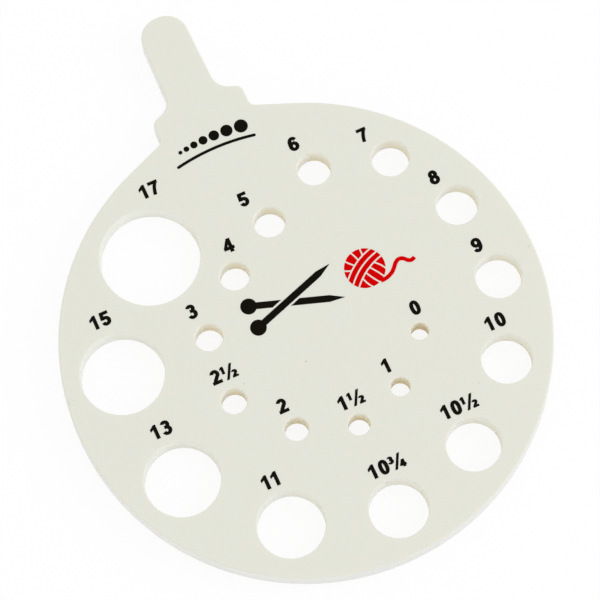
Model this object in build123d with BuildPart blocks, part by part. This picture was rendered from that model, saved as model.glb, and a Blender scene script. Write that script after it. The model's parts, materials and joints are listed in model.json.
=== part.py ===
from build123d import *
import os
from math import cos, radians, sin, tan

# Knitting needle gauge: one flat moulded plate, a disc with a stepped neck and a rounded tongue.
# The plate lies on its bare back at z = 0. The origin is the disc's centre, and the tongue is along +Y.
# All sizes are in millimetres, and all angles in degrees.

# Plate
plate_thickness = 3.0
disc_diameter = 59.2
edge_round = 0.25  # the mould's soft edge round the outline, front and back

# Neck: two shoulders leave the disc at a tangent, and meet a collar that carries the tongue
shoulder_bearing = 22.0  # from the tongue's axis to where a shoulder leaves the disc
collar_width = 11.9
collar_side = 2.8  # height of the collar's upright side, up to its corner
collar_slope = 20.0  # rise of the collar's top towards the tongue
tongue_width = 6.3  # where the tongue leaves the collar
tongue_taper = 0.25  # narrowing of each side up to the tip
tongue_length = 12.4  # from the collar's corner to the tip
tip_flat = 0.2  # short straight left at the crown of the round tip
shoulder_fillet = 0.9
collar_fillet = 1.1
tongue_fillet = 2.2

# Needle holes
needle_clearance = 0.15  # a hole is this much wider than the needle that it measures
rim_chamfer = 0.1  # the broken edge of each hole on the front, where the needle goes in

# Largest first: needle diameter, web left between the hole and the disc's edge, and bearing,
# clockwise from the tongue as seen on the front
needle_holes = [
    (12.0, 2.3, 322.2),
    (10.0, 2.2, 282.4),
    (9.0, 2.2, 244.0),
    (8.0, 2.4, 208.6),
    (7.0, 2.2, 177.0),
    (6.5, 2.3, 148.4),
    (6.0, 2.4, 121.4),
    (5.5, 2.5, 96.6),
    (5.0, 2.5, 72.4),
    (4.5, 2.7, 49.0),
    (4.0, 6.5, 27.0),
    (3.75, 12.7, 7.2),
    (3.5, 16.4, 335.6),
    (3.25, 16.3, 293.6),
    (3.0, 16.3, 251.0),
    (2.75, 16.6, 209.8),
    (2.5, 15.6, 174.4),
    (2.25, 15.5, 143.8),
    (2.0, 14.9, 112.2),
]

# Corners of the neck's right half, from the disc upwards
disc_radius = disc_diameter / 2
collar_half = collar_width / 2
tongue_half = tongue_width / 2
shoulder_drop = collar_half * sin(radians(shoulder_bearing))
shoulder_top = (disc_radius - shoulder_drop) / cos(radians(shoulder_bearing))
collar_top = shoulder_top + collar_side
collar_rise = (collar_half - tongue_half) * tan(radians(collar_slope))
tip_half = tongue_half - tongue_taper
tip_height = collar_top + tongue_length
tip_fillet = tip_half - tip_flat / 2

# The fillets at both ends of the collar's sloped top share its length, so a short top limits them
top_length = (collar_half - tongue_half) / cos(radians(collar_slope))
fillet_room = top_length / tan(radians(90 - collar_slope) / 2)
fillet_share = min(1, 0.98 * fillet_room / (collar_fillet + tongue_fillet))


def needle_hole(needle, web, bearing):
    """Centre and radius of the hole for one needle size."""
    radius = (needle + needle_clearance) / 2
    reach = disc_radius - web - radius
    centre = (reach * sin(radians(bearing)), reach * cos(radians(bearing)))
    return centre, radius


with BuildPart() as gauge_plate:
    with BuildSketch():
        with BuildLine():
            disc_side = CenterArc((0, 0), disc_radius, -90, 180 - shoulder_bearing)
            FilletPolyline(
                disc_side @ 1,
                (collar_half, shoulder_top),
                (collar_half, collar_top),
                (tongue_half, collar_top + collar_rise),
                (tip_half, tip_height),
                (0, tip_height),
                radius=(
                    shoulder_fillet,
                    collar_fillet * fillet_share,
                    tongue_fillet * fillet_share,
                    tip_fillet,
                ),
            )
            mirror(about=Plane.YZ)
        make_face()
    extrude(amount=plate_thickness)

    # Soft edge round the outline, before the holes bring edges of their own
    levels = gauge_plate.edges().group_by(Axis.Z)
    fillet(levels[0] + levels[-1], edge_round)

    with BuildSketch():
        for hole in needle_holes:
            centre, radius = needle_hole(*hole)
            with Locations(centre):
                Circle(radius)
    extrude(amount=plate_thickness, mode=Mode.SUBTRACT)

    # Broken edge at the front rim of every hole
    front = gauge_plate.faces().sort_by(Axis.Z)[-1]
    chamfer(front.inner_wires().edges(), rim_chamfer)

gauge_plate.part.label = "gauge_plate"

os.makedirs("parts", exist_ok=True)
export_step(gauge_plate.part, "parts/gauge_plate.step")
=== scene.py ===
import json
from math import cos, hypot, radians, sin

import bmesh
import bpy
from mathutils import Matrix, Vector
from mathutils.geometry import delaunay_2d_cdt


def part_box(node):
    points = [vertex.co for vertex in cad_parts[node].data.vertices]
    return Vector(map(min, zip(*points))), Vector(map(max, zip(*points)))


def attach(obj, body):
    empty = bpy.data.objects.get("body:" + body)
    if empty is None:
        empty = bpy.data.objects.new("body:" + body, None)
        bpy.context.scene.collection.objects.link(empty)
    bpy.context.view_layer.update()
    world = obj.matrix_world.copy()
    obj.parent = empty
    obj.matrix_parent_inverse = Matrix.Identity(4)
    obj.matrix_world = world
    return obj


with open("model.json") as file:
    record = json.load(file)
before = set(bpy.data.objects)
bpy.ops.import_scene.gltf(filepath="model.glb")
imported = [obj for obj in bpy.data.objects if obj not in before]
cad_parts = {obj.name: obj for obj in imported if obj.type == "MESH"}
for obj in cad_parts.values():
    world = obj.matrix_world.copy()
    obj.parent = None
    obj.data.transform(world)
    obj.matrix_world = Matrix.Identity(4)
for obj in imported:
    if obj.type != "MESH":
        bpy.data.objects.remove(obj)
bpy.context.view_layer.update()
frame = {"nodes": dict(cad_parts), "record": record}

# Knitting needle gauge: a moulded plate of off-white plastic with a spiral of graded holes, printed
# in ink on its front. The plate lies on its back at z = 0, with its disc's centre at the origin and its
# tongue along +Y. Sizes are in millimetres, but for the floor and lamp, and MM brings them to metres.

MM = 0.001
BODY = "root"
PLATE = "gauge_plate"

# The plate's front face, and each needle bore's centre and radius, from the frame
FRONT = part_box(PLATE)[1].z / MM
BORES = {
    mount["name"]: (Vector(mount["pos_m"][:2]) / MM, mount["dims"]["r_mm"])
    for mount in frame["record"]["mounts"]
    if mount["kind"] == "bore"
}

# Colours, linear
PLASTIC = (0.770, 0.780, 0.702)
PLASTIC_WARM = (0.781, 0.773, 0.688)
PLASTIC_GRAIN = (0.25, 0.38, 0.11)
# Painted light and shade on the outer wall: lighter than the face, one tone away from the lamp, one
# towards it
EDGE_PAINTED = (0.832, 0.83, 0.782)
EDGE_LIT = (0.785, 0.79, 0.757)
# Painted light on bore walls: lighter than the face, most in narrow bores, a wide bore's lit side in
# its own tone
BORE_WIDE_PAINTED = (0.885, 0.89, 0.828)
BORE_WIDE_LIT = (0.835, 0.84, 0.79)
BORE_NARROW_PAINTED = (0.955, 0.95, 0.88)
# Painted warm shade deep in small bores, less where the wall faces the lamp
BORE_DEEP_PAINTED_SHADE = (0.99, 0.77, 0.26)
# Painted light where a narrow bore's wall faces the lamp deep down, and painted shade where it faces
# away
BORE_LIT = (0.99, 0.99, 0.95)
BORE_SHADED = (0.84, 0.79, 0.63)
STAIN = (0.42, 0.36, 0.12)
BLACK = (0.0063, 0.0054, 0.0034)
RED = (0.565, 0.0002, 0.0006)

# Plastic: a slow change of tone and a fine darker grain. Noise scales are in features to a millimetre,
# and a span is the values between which something starts and ends.
TONE_SCALE = 0.12
GRAIN_SCALE = 6.0
GRAIN_DETAIL = 3.0
GRAIN_SPAN = (0.35, 0.65)
GRAIN_SHARE = 0.06  # how much of PLASTIC_GRAIN shows where the grain is darkest
GRAIN_HEIGHT = 0.02
GRAIN_BUMP = 0.06
NOISE_SPAN = (0.3, 0.7)  # most of a noise's values are in it
PLASTIC_ROUGHNESS = (0.38, 0.46)
PLASTIC_IOR = 1.5
TRANSLUCENCY = 0.1
TRANSLUCENT_DEPTH = 1.5
TRANSLUCENT_COLOUR = (1.0, 0.7, 0.4)  # how far each colour of light goes, as shares of that depth

# Walls: their tone is painted light and shade. It follows their facing, which is 1 towards LIT_WAY, the
# key lamp's side, and -1 away from it. In a bore it also follows the depth, and the narrowness, which
# is one over the bore's radius.
LIT_WAY = (0.95, -0.31, 0.0)
WALL_SPAN = (0.35, 0.9)  # how upright a face's normal is, from a wall to a flat face
WALL_REACH = 0.2  # how far outside a bore's radius its rim still counts as its wall
DEPTH_AT_FRONT = 0.15  # how strong the painted light and shade that grow with depth still are at the front face
EDGE_LIT_SPAN = (-0.5, 0.4)  # of facing, as are the next three
WIDE_LIT_SPAN = (0.4, 0.9)
LIT_SPAN = (0.0, 0.6)
SHADED_SPAN = (-1.0, -0.6)
SHADED_SHARE = 0.5  # how much of BORE_SHADED, a painted shade, shows on the walls that face away
NARROW_SPAN = (0.2, 0.6)  # of narrowness, as is the next one
LIT_NARROW_SPAN = (0.15, 0.45)
PAINTED_SHADE_GAIN = 0.95  # how much of the painted warm shade deep in a bore shows for each unit of narrowness
PAINTED_SHADE_CUTS = (-0.13, -0.42)  # what comes off that painted shade, out of the light and in it

# Specks of dirt: the place on the plate and its depth under the front face, the radius, and how strong
# it is. The last four are on the walls of bores.
SPECKS = (
    ((-1.32, -2.93, 0.0), 0.115, 0.9),
    ((-9.17, -2.37, 0.0), 0.12, 0.55),
    ((16.28, -13.90, 0.0), 0.14, 0.26),
    ((4.36, -10.41, 0.0), 0.08, 0.3),
    ((-5.43, -8.14, 0.0), 0.09, 0.4),
    ((4.30, -21.81, 0.0), 0.09, 0.4),
    ((28.99, -0.97, 0.0), 0.24, 0.2),
    ((-28.96, 4.16, 0.0), 0.2, 0.2),
    ((-28.98, 3.81, 0.0), 0.17, 0.15),
    ((-28.31, 4.15, 0.0), 0.1, 0.3),
    ((-27.40, 2.40, 0.0), 0.1, 0.2),
    ((-3.61, 21.37, 0.0), 0.1, 0.25),
    ((1.38, -20.22, 0.78), 0.25, 0.6),
    ((9.58, 20.81, 0.2), 0.16, 0.5),
    ((-4.48, -9.31, 0.75), 0.25, 0.6),
    ((-7.95, 20.15, 1.67), 0.17, 0.3),
)
SPECK_CORE = 0.5  # the share of its radius over which a speck is whole

# Print
INK_SUNK = 0.01  # how far a printed shape reaches into the plate, so that it has no gap under it
INK_PROUD = 0.015
INK_UNEVEN = 1.25  # where the ink is thinnest it is lighter by this factor
INK_SCALE = 2.0
INK_GRAIN_SCALE = 12.0
INK_ROUGHNESS = (0.5, 0.62)
INK_IOR = 1.45
INK_GLOSS = 0.01
NUMBER_HEIGHT = 1.8

# Each number, by the bore that it stands above: its text, how far its middle is to the right of the
# bore's centre, and how far it is above the bore's rim
NUMBERS = {
    "needle_12_mm": ("17", 3.35, 1.78),
    "needle_10_mm": ("15", 0.20, 2.08),
    "needle_9_mm": ("13", 0.15, 1.99),
    "needle_8_mm": ("11", -0.12, 1.74),
    "needle_7_mm": ("10 3/4", 0.84, 1.68),
    "needle_6_5_mm": ("10 1/2", 0.34, 1.59),
    "needle_6_mm": ("10", 0.67, 1.68),
    "needle_5_5_mm": ("9", -0.77, 1.72),
    "needle_5_mm": ("8", -1.11, 1.70),
    "needle_4_5_mm": ("7", -1.80, 1.77),
    "needle_4_mm": ("6", -0.97, 1.88),
    "needle_3_75_mm": ("5", -1.70, 1.97),
    "needle_3_5_mm": ("4", 0.84, 1.97),
    "needle_3_25_mm": ("3", -0.58, 2.05),
    "needle_3_mm": ("2 1/2", 0.22, 2.00),
    "needle_2_75_mm": ("2", -0.40, 1.83),
    "needle_2_5_mm": ("1 1/2", 0.35, 1.84),
    "needle_2_25_mm": ("1", -0.57, 1.82),
    "needle_2_mm": ("0", 0.68, 1.80),
}

# Underline near the neck, along an arc, and the row of graded dots above it
UNDERLINE_CENTRE = (-0.28, 0.0)
UNDERLINE_RADIUS = 26.22
UNDERLINE_HALF_ANGLE = 11.05
UNDERLINE_WIDTH = 0.37
DOT_RADIUS = 27.72  # of the arc that the dots stand on
DOT_SIZES = (0.5, 0.7, 0.9, 1.1, 1.3, 1.5, 1.7)
DOT_GAP = 0.25

# Floor and light, in metres, but for the gap
FLOOR_SIZE = 6.0
FLOOR_GAP = 0.02  # between the plate's back and the floor, in millimetres
FLOOR_COLOUR = (0.96, 0.96, 0.96, 1.0)
FLOOR_ROUGHNESS = 0.9
FLOOR_GLOW = 0.87  # how much of the floor's look is plain white; the rest is its shaded colour
WHITE = (1.0, 1.0, 1.0, 1.0)
DOME_STRENGTH = 0.923
KEY_PLACE = (0.75, -0.25, 0.5)
KEY_SIZE = 0.5
KEY_POWER = 1.6

# Camera, aimed at a point of the plate's front face, with its angles in degrees
CAMERA_AIM = (1.184, 4.324)
CAMERA_DISTANCE = 398.42
CAMERA_AZIMUTH = -20.757
CAMERA_ELEVATION = 73.343
CAMERA_ROLL = -3.711
CAMERA_LENS = 199.657
CAMERA_SENSOR = 36.0
CAMERA_REACH = (0.01, 20.0)  # the nearest and furthest that it sees, in metres


def add(tree, kind, inputs=None, **settings):
    """Adds a node with its settings, and a value or another node's output for each given input."""
    made = tree.nodes.new(kind)
    for setting, value in settings.items():
        setattr(made, setting, value)
    for name, value in (inputs or {}).items():
        if isinstance(value, bpy.types.NodeSocket):
            tree.links.new(value, made.inputs[name])
        else:
            made.inputs[name].default_value = value
    return made


def calculate(tree, operation, *values):
    """A Math node's result."""
    return add(tree, "ShaderNodeMath", dict(enumerate(values)), operation=operation).outputs[0]


def measure(tree, operation, first, second):
    """A Vector Math node's number, such as the distance between two places."""
    inputs = {0: first, 1: second}
    return add(tree, "ShaderNodeVectorMath", inputs, operation=operation).outputs["Value"]


def between(tree, value, low, high, start=0.0, end=1.0):
    """Start where the value is at most low, end where it is at least high, and smooth between."""
    inputs = {"Value": value, "From Min": low, "From Max": high, "To Min": start, "To Max": end}
    return add(tree, "ShaderNodeMapRange", inputs, interpolation_type="SMOOTHSTEP").outputs[0]


MIX_COLOURS, MIX_RESULT = (6, 7), 2  # a Mix node's sockets for colours, among others of the same names


def mixed(tree, factor, first, second):
    """A colour between two colours, each an output or a tuple of three numbers."""
    inputs = {"Factor": factor}
    for socket, colour in zip(MIX_COLOURS, (first, second)):
        inputs[socket] = colour if isinstance(colour, bpy.types.NodeSocket) else (*colour, 1.0)
    return add(tree, "ShaderNodeMix", inputs, data_type="RGBA").outputs[MIX_RESULT]


def noise(tree, place, scale, detail=2.0):
    """Noise from 0 to 1, with its scale in features to the millimetre."""
    inputs = {"Vector": place, "Scale": scale / MM, "Detail": detail}
    return add(tree, "ShaderNodeTexNoise", inputs).outputs["Fac"]


def new_material(name):
    """A material with its nodes, and its Principled shader."""
    material = bpy.data.materials.new(name)
    material.use_nodes = True
    tree = material.node_tree
    return material, tree, tree.nodes["Principled BSDF"]


def bore_narrowness(tree, place):
    """One over a bore's radius in millimetres on its walls, and nothing elsewhere."""
    level = {0: place, 1: (1, 1, 0)}
    flat = add(tree, "ShaderNodeVectorMath", level, operation="MULTIPLY").outputs[0]
    narrow = 0.0
    for centre, radius in BORES.values():
        away = measure(tree, "DISTANCE", flat, (centre.x * MM, centre.y * MM, 0))
        inside = calculate(tree, "LESS_THAN", away, (radius + WALL_REACH) * MM)
        narrow = calculate(tree, "MULTIPLY_ADD", inside, 1 / radius, narrow)
    return narrow


def painted_bore_walls(tree, narrow, deep, facing):
    """Painted light and shade on a bore's walls: a warm shade deep in a small bore, plainer facing the
    light.
    """
    # Painted light: walls lighter than the face, most in a narrow bore, with a wide bore's lit side in
    # its own tone
    colour = mixed(tree, between(tree, facing, *WIDE_LIT_SPAN), BORE_WIDE_PAINTED, BORE_WIDE_LIT)
    colour = mixed(tree, between(tree, narrow, *NARROW_SPAN), colour, BORE_NARROW_PAINTED)

    # Painted light where a narrow bore's wall faces the lamp deep down, and painted shade where it
    # faces away
    lit, small = between(tree, facing, *LIT_SPAN), between(tree, narrow, *LIT_NARROW_SPAN)
    lit_deep = calculate(tree, "MULTIPLY", calculate(tree, "MULTIPLY", lit, small), deep)
    colour = mixed(tree, lit_deep, colour, BORE_LIT)
    shaded = between(tree, facing, *SHADED_SPAN, SHADED_SHARE, 0.0)
    colour = mixed(tree, shaded, colour, BORE_SHADED)

    # Painted warm shade: grows with narrowness and depth, and is less where the wall faces the lamp
    shade_cut = between(tree, facing, *LIT_SPAN, *PAINTED_SHADE_CUTS)
    painted_warm_shade = calculate(tree, "MULTIPLY_ADD", narrow, PAINTED_SHADE_GAIN, shade_cut)
    painted_warm_shade = calculate(tree, "MULTIPLY", calculate(tree, "MAXIMUM", painted_warm_shade, 0.0), deep)
    return mixed(tree, painted_warm_shade, colour, BORE_DEEP_PAINTED_SHADE)


def stained(tree, place, colour):
    """The colour, with a few small specks of dirt."""
    for (x, y, depth), radius, share in SPECKS:
        away = measure(tree, "DISTANCE", place, (x * MM, y * MM, (FRONT - depth) * MM))
        cover = between(tree, away, SPECK_CORE * radius * MM, radius * MM, share, 0.0)
        colour = mixed(tree, cover, colour, STAIN)
    return colour


def plastic_material():
    """Off-white moulded plastic, a little translucent, with painted light and shade on its walls, and a
    painted warm shade deep in the small bores.
    """
    material, tree, shader = new_material("off_white_plastic")
    texture = add(tree, "ShaderNodeTexCoord")
    place, normal = texture.outputs["Object"], texture.outputs["Normal"]
    height = add(tree, "ShaderNodeSeparateXYZ", {0: place}).outputs["Z"]
    upright = add(tree, "ShaderNodeSeparateXYZ", {0: normal}).outputs["Z"]
    facing = measure(tree, "DOT_PRODUCT", normal, LIT_WAY)

    grain = noise(tree, place, GRAIN_SCALE, GRAIN_DETAIL)
    colour = mixed(tree, noise(tree, place, TONE_SCALE), PLASTIC, PLASTIC_WARM)
    darker = between(tree, grain, *GRAIN_SPAN, GRAIN_SHARE, 0.0)
    colour = mixed(tree, darker, colour, PLASTIC_GRAIN)

    # The walls' colours are painted light and shade, by narrowness, depth and facing
    narrow = bore_narrowness(tree, place)
    deep = between(tree, height, 0.0, FRONT * MM, 1.0, DEPTH_AT_FRONT)
    bore = painted_bore_walls(tree, narrow, deep, facing)
    # The outer wall's painted light and shade, by the way it faces the lamp
    painted_edge = mixed(tree, between(tree, facing, *EDGE_LIT_SPAN), EDGE_PAINTED, EDGE_LIT)
    painted_sides = mixed(tree, calculate(tree, "GREATER_THAN", narrow, 0.0), painted_edge, bore)
    wall = between(tree, calculate(tree, "ABSOLUTE", upright), *WALL_SPAN, 1.0, 0.0)
    colour = stained(tree, place, mixed(tree, wall, colour, painted_sides))
    tree.links.new(colour, shader.inputs["Base Color"])

    roughness = between(tree, grain, *NOISE_SPAN, *PLASTIC_ROUGHNESS)
    tree.links.new(roughness, shader.inputs["Roughness"])
    relief = {"Height": grain, "Strength": GRAIN_BUMP, "Distance": GRAIN_HEIGHT * MM}
    bump = add(tree, "ShaderNodeBump", relief)
    tree.links.new(bump.outputs[0], shader.inputs["Normal"])

    shader.inputs["IOR"].default_value = PLASTIC_IOR
    shader.inputs["Subsurface Weight"].default_value = TRANSLUCENCY
    shader.inputs["Subsurface Radius"].default_value = TRANSLUCENT_COLOUR
    shader.inputs["Subsurface Scale"].default_value = TRANSLUCENT_DEPTH * MM
    return material


def ink_material(name, colour):
    """Printing ink, slightly uneven in its cover and its gloss."""
    material, tree, shader = new_material(name)
    place = add(tree, "ShaderNodeTexCoord").outputs["Object"]
    thin = tuple(part * INK_UNEVEN for part in colour)
    shown = mixed(tree, noise(tree, place, INK_SCALE), colour, thin)
    tree.links.new(shown, shader.inputs["Base Color"])
    grain = noise(tree, place, INK_GRAIN_SCALE, GRAIN_DETAIL)
    roughness = between(tree, grain, *NOISE_SPAN, *INK_ROUGHNESS)
    tree.links.new(roughness, shader.inputs["Roughness"])
    shader.inputs["IOR"].default_value = INK_IOR
    shader.inputs["Specular IOR Level"].default_value = INK_GLOSS
    return material


# Flat shapes are lists of cells, and a cell is the corners of one polygon

ARC_STEP = 9  # degrees from one point of an arc to the next
SAME_POINT = 1e-5  # points nearer than this are one


def arc(centre, radii, start, end, bulge=2.0, step=ARC_STEP):
    """Points along an ellipse from start to end in degrees; a bulge over 2 makes it squarer."""
    count = max(2, round(abs(end - start) / step))
    points = []
    for i in range(count + 1):
        angle = radians(start + (end - start) * i / count)
        x, y = (abs(f(angle)) ** (2 / bulge) * (1 if f(angle) > 0 else -1) for f in (cos, sin))
        points.append((centre[0] + radii[0] * x, centre[1] + radii[1] * y))
    return points


def bend(start, corner, end, count=8):
    """Points along a curve that leaves start and reaches end, both in line with the corner."""
    points = []
    for i in range(count + 1):
        t = i / count
        shares = ((1 - t) ** 2, 2 * t * (1 - t), t * t)
        anchors = (start, corner, end)
        points.append(tuple(sum(s * p[k] for s, p in zip(shares, anchors)) for k in (0, 1)))
    return points


def bar(left, bottom, right, top):
    """A rectangle, in one cell."""
    return [((left, bottom), (right, bottom), (right, top), (left, top))]


def disc(centre, radius):
    """A full circle, in one cell."""
    return [tuple(arc(centre, (radius, radius), 0, 360 - ARC_STEP))]


def stroke(path, wide, high=None):
    """Four-sided cells along a path, from a pen that is as wide and as high as given."""
    high = high or wide
    closed = hypot(path[0][0] - path[-1][0], path[0][1] - path[-1][1]) < SAME_POINT
    lefts, rights = [], []
    for i, (x, y) in enumerate(path):
        before = path[i - 1] if i else path[-2 if closed else 0]
        after = path[i + 1] if i < len(path) - 1 else path[1 if closed else -1]
        ways = [Vector((x, y)) - Vector(before), Vector(after) - Vector((x, y))]
        ways = [way.normalized() for way in ways if way.length]
        along = sum(ways, Vector((0, 0))) / len(ways)
        across = Vector((-along.y * wide, along.x * high)) / along.length_squared / 2
        lefts.append((x + across.x, y + across.y))
        rights.append((x - across.x, y - across.y))
    return [(lefts[i], rights[i], rights[i + 1], lefts[i + 1]) for i in range(len(path) - 1)]


def moved(cells, x, y, wide=1.0, high=None):
    """Cells scaled about the origin, by one factor or by one in each direction, and then moved."""
    high = high or wide
    return [tuple((x + wide * px, y + high * py) for px, py in cell) for cell in cells]


# Numerals are one unit high above their baseline, and each takes its pen's width and height

NEXT_NUMERAL = 0.763  # from the start of one numeral to that of the next
NEXT_ONE = 0.68  # the same for a pair of ones, which stand closer
PEN = (0.271, 0.231)

# A fraction: its digits' size as shares of a numeral's, and where its parts are
SMALL_WIDTH, SMALL_HEIGHT = 0.61, 0.535
SMALL_PEN = (0.35, 0.285)
UPPER_START = -0.03  # from where the next numeral would start
SLASH_START = 0.225  # from the same place
SLASH_WIDTH = 0.2
SLASH_LEAN = 0.53
SLASH_TOP = 1.01
LOWER_START = 0.43  # from the slash's foot
LOWER_LEVEL = -0.02  # of the lower digit and of the slash's foot


def zero(w, h):
    return stroke(arc((0.387, 0.5), (0.337 - w / 2, 0.515 - h / 2), 0, 360, bulge=2.35), w, h)


def one(w, h):
    left, right = 0.575 - w, 0.56
    stem = ((left, 0), (right, 0), (right, 1), (left + 0.08, 1), (left, 0.93))
    flag = ((0.095, 0.585), (left + 0.01, 0.70), (left + 0.01, 0.94), (0.095, 0.77))
    return [stem, flag]


def two(w, h):
    bowl = arc((0.38, 0.69), (0.335 - w / 2, 0.325 - h / 2), 165, -32)
    neck = stroke(bowl + [(0.27, 0.25)], w, h)
    foot = (neck[-1][3], neck[-1][2], (0.04, 0.0), (0.37, 0.0))
    return neck + [foot] + bar(0.04, 0, 0.725, h)


def three(w, h):
    top, middle, bottom = 1.015 - h / 2, 0.54, h / 2 - 0.015
    upper = arc((0.365, (top + middle) / 2), (0.32 - w / 2, (top - middle) / 2), 160, -90)
    lower = arc((0.375, (middle + bottom) / 2), (0.355 - w / 2, (middle - bottom) / 2), 90, -165)
    return stroke(upper, w, h) + stroke([(0.27, middle)] + lower, w, h)


def four(w, h):
    left, right = 0.645 - w, 0.645
    slope = ((0.01, 0.375), (0.29, 0.40), (left, 0.60), (left + 0.02, 1.0))
    return bar(left, 0, right, 1) + bar(0.01, 0.19, 0.755, 0.19 + h) + [slope]


def five(w, h):
    bowl = stroke(arc((0.375, 0.325), (0.345 - w / 2, 0.34 - h / 2), 128, -165), w, h)
    side = ((0.045, 0.44), bowl[0][1], (0.35, 0.9), (0.1, 0.98))
    return bar(0.1, 1 - h, 0.69, 1) + [side] + bowl


def six(w, h):
    loop = arc((0.385, 0.33), (0.352 - w / 2, 0.345 - h / 2), 0, 360)
    back = arc((0.415, 0.51), (0.382 - w / 2, 0.505 - h / 2), 38, 180)
    return stroke(loop, w, h) + stroke(back + [(0.033 + w / 2, 0.32)], w, h)


def seven(w, h):
    stem = bend((0.60, 0.90), (0.35, 0.55), (0.265, 0))
    return bar(0.035, 1 - h, 0.715, 1) + stroke(stem, 0.9 * w, h)


def eight(w, h):
    top, middle, bottom = 1.015 - h / 2, 0.535, h / 2 - 0.015
    upper = arc((0.385, (top + middle) / 2), (0.313 - w / 2, (top - middle) / 2), 0, 360)
    lower = arc((0.385, (middle + bottom) / 2), (0.353 - w / 2, (middle - bottom) / 2), 0, 360)
    return stroke(upper, w, h) + stroke(lower, w, h)


def nine(w, h):
    return [tuple((0.77 - x, 1 - y) for x, y in cell) for cell in six(w, h)]


NUMERALS = (zero, one, two, three, four, five, six, seven, eight, nine)


def written(text):
    """Cells of a number, such as 10 or 10 3/4, about the middle of its width and height."""
    whole, _, fraction = text.partition(" ")
    cells, x = [], 0.0
    for digit in whole:
        cells += moved(NUMERALS[int(digit)](*PEN), x, 0)
        x += NEXT_ONE if whole == "11" else NEXT_NUMERAL
    if fraction:
        upper, lower = (NUMERALS[int(digit)](*SMALL_PEN) for digit in fraction.split("/"))
        cells += moved(upper, x + UPPER_START, 1 - SMALL_HEIGHT, SMALL_WIDTH, SMALL_HEIGHT)
        foot = x + SLASH_START
        top = foot + SLASH_LEAN
        slash = [(foot, LOWER_LEVEL), (foot + SLASH_WIDTH, LOWER_LEVEL)]
        slash += [(top + SLASH_WIDTH, SLASH_TOP), (top, SLASH_TOP)]
        cells.append(tuple(slash))
        cells += moved(lower, foot + LOWER_START, LOWER_LEVEL, SMALL_WIDTH, SMALL_HEIGHT)
    across = [x for cell in cells for x, _ in cell]
    return moved(cells, -(min(across) + max(across)) / 2, -0.5)


def printed(name, cells, ink, gaps=()):
    """A thin closed piece of ink on the front face, where any cell lies and no gap does."""
    corners, faces = [], []
    for cell in [*cells, *gaps]:
        faces.append(list(range(len(corners), len(corners) + len(cell))))
        corners += [Vector(corner) for corner in cell]
    points, _, triangles, _, _, sources = delaunay_2d_cdt(corners, [], faces, 0, SAME_POINT)

    shape = bmesh.new()
    floor = FRONT - INK_SUNK
    vertices = [shape.verts.new((p.x * MM, p.y * MM, floor * MM)) for p in points]
    for triangle, cover in zip(triangles, sources):
        if cover and max(cover) < len(cells):
            shape.faces.new([vertices[i] for i in triangle])
    bmesh.ops.delete(shape, geom=[v for v in shape.verts if not v.link_faces], context="VERTS")
    bmesh.ops.recalc_face_normals(shape, faces=shape.faces)
    raised = bmesh.ops.extrude_face_region(shape, geom=shape.faces[:], use_keep_orig=True)
    lifted = [item for item in raised["geom"] if isinstance(item, bmesh.types.BMVert)]
    bmesh.ops.translate(shape, verts=lifted, vec=(0, 0, (INK_SUNK + INK_PROUD) * MM))
    bmesh.ops.recalc_face_normals(shape, faces=shape.faces)

    mesh = bpy.data.meshes.new(name)
    shape.to_mesh(mesh)
    shape.free()
    mesh.materials.append(ink)
    piece = bpy.data.objects.new(name, mesh)
    bpy.context.scene.collection.objects.link(piece)
    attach(piece, BODY)
    return piece


def print_numbers(ink):
    for bore, (text, right, above) in NUMBERS.items():
        centre, radius = BORES[bore]
        cells = moved(written(text), centre.x + right, centre.y + radius + above, NUMBER_HEIGHT)
        printed(bore.replace("needle", "number"), cells, ink)


def print_underline(ink):
    radii = (UNDERLINE_RADIUS, UNDERLINE_RADIUS)
    ends = (90 + UNDERLINE_HALF_ANGLE, 90 - UNDERLINE_HALF_ANGLE)
    line = arc(UNDERLINE_CENTRE, radii, *ends, step=1.0)
    cells = stroke(line, UNDERLINE_WIDTH)
    for end in (line[0], line[-1]):
        cells += disc(end, UNDERLINE_WIDTH / 2)
    printed("heading_underline", cells, ink)


def print_dots(ink):
    """Dots from small to large along an arc, centred on the tongue's axis."""
    length = sum(DOT_SIZES) + DOT_GAP * (len(DOT_SIZES) - 1)
    along = -length / 2
    for number, size in enumerate(DOT_SIZES, 1):
        angle = (along + size / 2) / DOT_RADIUS
        centre = (DOT_RADIUS * sin(angle), DOT_RADIUS * cos(angle))
        printed(f"heading_dot_{number}", disc(centre, size / 2), ink)
        along += size + DOT_GAP


# Centre picture: a pair of crossed knitting needles in black, and a ball of yarn in red

NEEDLE_WIDTH = 0.85
NEEDLE_TIP = 1.9  # length of its point
KNOB_RADIUS = 1.0
OVER_NEEDLE = ((-4.75, 3.25), (6.3, 7.0))  # its knob and its tip
UNDER_NEEDLE = ((-4.75, 6.15), (6.3, 2.4))
CROSSING_GAP = 0.25  # bare line at either side of the needle that lies over the other
BALL_CENTRE = (9.9, 4.72)
BALL_RADIUS = 2.5
BALL_TURN = 32

# The gaps between the ball's strands: three that bulge across its middle, and a fan above and below,
# with the spread and the height of each fan's start, corner and end
STRAND_GAP = 0.2
STRAND_BULGE = 0.8
STRAND_RISES = (-0.8, 0, 0.8)
FAN_STARTS = (-1.2, -0.4, 0.4, 1.2)
UPPER_FAN = ((1.0, 1.16), (1.5, 1.9), (1.6, BALL_RADIUS))
LOWER_FAN = ((1.0, -0.44), (1.3, -1.6), (1.1, -BALL_RADIUS))

# The yarn's loose end, from the ball's centre: its bends start and end at every second point
TAIL = ((1.1, -2.25), (2.5, -2.3), (3.3, -1.3), (4.2, -0.1), (5.0, -1.1), (5.4, -1.6), (6.0, -1.2))
TAIL_WIDTH = 0.5


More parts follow.
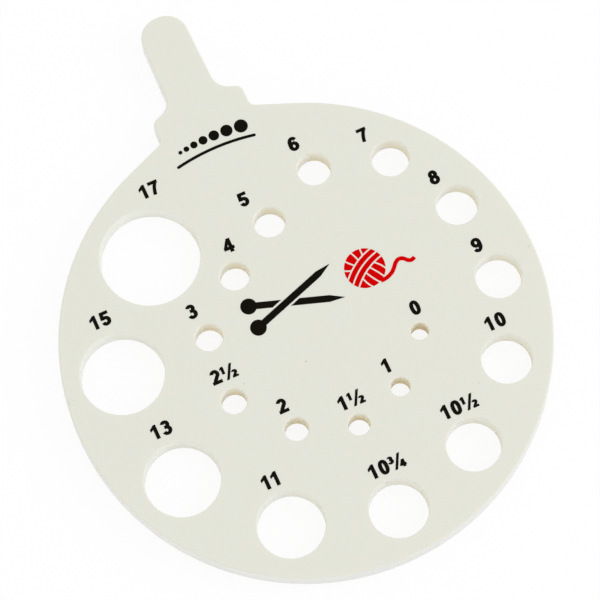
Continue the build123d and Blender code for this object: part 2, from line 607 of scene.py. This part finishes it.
def needle_cells(knob, tip):
    """A needle's rod with its point, and its knob."""
    along = (Vector(tip) - Vector(knob)).normalized()
    across = Vector((-along.y, along.x)) * NEEDLE_WIDTH / 2
    start, shoulder, end = Vector(knob), Vector(tip) - along * NEEDLE_TIP, Vector(tip)
    rod = (start - across, shoulder - across, end, shoulder + across, start + across)
    return [tuple(map(tuple, rod))] + disc(knob, KNOB_RADIUS)


def print_needles(ink):
    """Two crossed needles, with a bare line at either side of the one on top."""
    knob, tip = map(Vector, OVER_NEEDLE)
    across = (tip - knob).orthogonal().normalized() * (NEEDLE_WIDTH + CROSSING_GAP) / 2
    quarter, middle = (tip - knob) / 4, (tip + knob) / 2
    gaps = []
    for offset in (across, -across):
        gaps += stroke([middle - quarter + offset, middle + quarter + offset], CROSSING_GAP)
    cells = needle_cells(*OVER_NEEDLE) + needle_cells(*UNDER_NEEDLE)
    printed("picture_needles", cells, ink, gaps)


def print_ball(ink):
    """A ball with thin gaps between its strands, and a loose end that runs out to the right."""
    lines = []
    for rise in STRAND_RISES:
        lines.append(bend((-BALL_RADIUS, rise), (0, rise + STRAND_BULGE), (BALL_RADIUS, rise)))
    for start in FAN_STARTS:
        for fan in (UPPER_FAN, LOWER_FAN):
            lines.append(bend(*((start * spread, height) for spread, height in fan)))
    turn = Matrix.Rotation(radians(BALL_TURN), 2)
    gaps = []
    for line in lines:
        gaps += stroke([turn @ Vector(point) + Vector(BALL_CENTRE) for point in line], STRAND_GAP)

    tail = [TAIL[0]]
    for i in range(0, len(TAIL) - 1, 2):
        tail += bend(*TAIL[i : i + 3])[1:]
    cells = disc(BALL_CENTRE, BALL_RADIUS) + moved(stroke(tail, TAIL_WIDTH), *BALL_CENTRE)
    printed("picture_yarn", cells, ink, gaps)


def print_front():
    black = ink_material("black_ink", BLACK)
    red = ink_material("red_ink", RED)
    print_numbers(black)
    print_underline(black)
    print_dots(black)
    print_needles(black)
    print_ball(red)


def camera_rays(tree):
    """One where a ray comes straight from the camera, or by a mirror or through glass."""
    path = add(tree, "ShaderNodeLightPath")
    first = calculate(tree, "MAXIMUM", path.outputs["Is Camera Ray"], path.outputs["Is Glossy Ray"])
    return calculate(tree, "MAXIMUM", first, path.outputs["Is Transmission Ray"])


def light_world():
    world = bpy.data.worlds.new("studio")
    bpy.context.scene.world = world
    world.use_nodes = True
    tree = world.node_tree
    dome = tree.nodes["Background"]
    dome.inputs["Color"].default_value = WHITE
    dome.inputs["Strength"].default_value = DOME_STRENGTH
    backdrop = add(tree, "ShaderNodeBackground", {"Color": WHITE, "Strength": 1.0})
    inputs = {0: camera_rays(tree), 1: dome.outputs[0], 2: backdrop.outputs[0]}
    shown = add(tree, "ShaderNodeMixShader", inputs)
    tree.links.new(shown.outputs[0], tree.nodes["World Output"].inputs["Surface"])


def add_lamp(name, place, size, power):
    """A soft square lamp that faces the plate, with its place and size in metres."""
    lamp = bpy.data.lights.new(name, "AREA")
    lamp.size = size
    lamp.energy = power
    holder = bpy.data.objects.new(name, lamp)
    holder.location = place
    holder.rotation_euler = Vector(place).to_track_quat("Z", "Y").to_euler()
    bpy.context.scene.collection.objects.link(holder)


def add_floor():
    """A floor just under the plate, which glows to the camera: near white, but with shadows."""
    material, tree, shader = new_material("floor")
    shader.inputs["Base Color"].default_value = FLOOR_COLOUR
    shader.inputs["Roughness"].default_value = FLOOR_ROUGHNESS
    shader.inputs["Specular IOR Level"].default_value = 0.0
    glow = add(tree, "ShaderNodeEmission", {"Color": WHITE, "Strength": 1.0})
    share = calculate(tree, "MULTIPLY", camera_rays(tree), FLOOR_GLOW)
    shown = add(tree, "ShaderNodeMixShader", {0: share, 1: shader.outputs[0], 2: glow.outputs[0]})
    tree.links.new(shown.outputs[0], tree.nodes["Material Output"].inputs["Surface"])

    half = FLOOR_SIZE / 2
    level = -FLOOR_GAP * MM
    mesh = bpy.data.meshes.new("floor")
    corners = [(x, y, level) for x, y in ((-half, -half), (half, -half), (half, half), (-half, half))]
    mesh.from_pydata(corners, [], [(0, 1, 2, 3)])
    mesh.materials.append(material)
    floor = bpy.data.objects.new("floor", mesh)
    bpy.context.scene.collection.objects.link(floor)


def add_camera():
    camera = bpy.data.cameras.new("camera")
    camera.sensor_width = CAMERA_SENSOR
    camera.lens = CAMERA_LENS
    camera.clip_start, camera.clip_end = CAMERA_REACH
    holder = bpy.data.objects.new("camera", camera)
    turn = (
        Matrix.Rotation(radians(CAMERA_AZIMUTH), 4, "Z")
        @ Matrix.Rotation(radians(90 - CAMERA_ELEVATION), 4, "X")
        @ Matrix.Rotation(radians(CAMERA_ROLL), 4, "Z")
    )
    aim = Matrix.Translation(Vector((*CAMERA_AIM, FRONT)) * MM)
    holder.matrix_world = aim @ turn @ Matrix.Translation((0, 0, CAMERA_DISTANCE * MM))
    bpy.context.scene.collection.objects.link(holder)
    bpy.context.scene.camera = holder


plate = frame["nodes"][PLATE]
plate.material_slots[0].material = plastic_material()
print_front()
add_floor()
light_world()
add_lamp("key_lamp", KEY_PLACE, KEY_SIZE, KEY_POWER)
add_camera()
bpy.context.scene.view_settings.view_transform = "Standard"
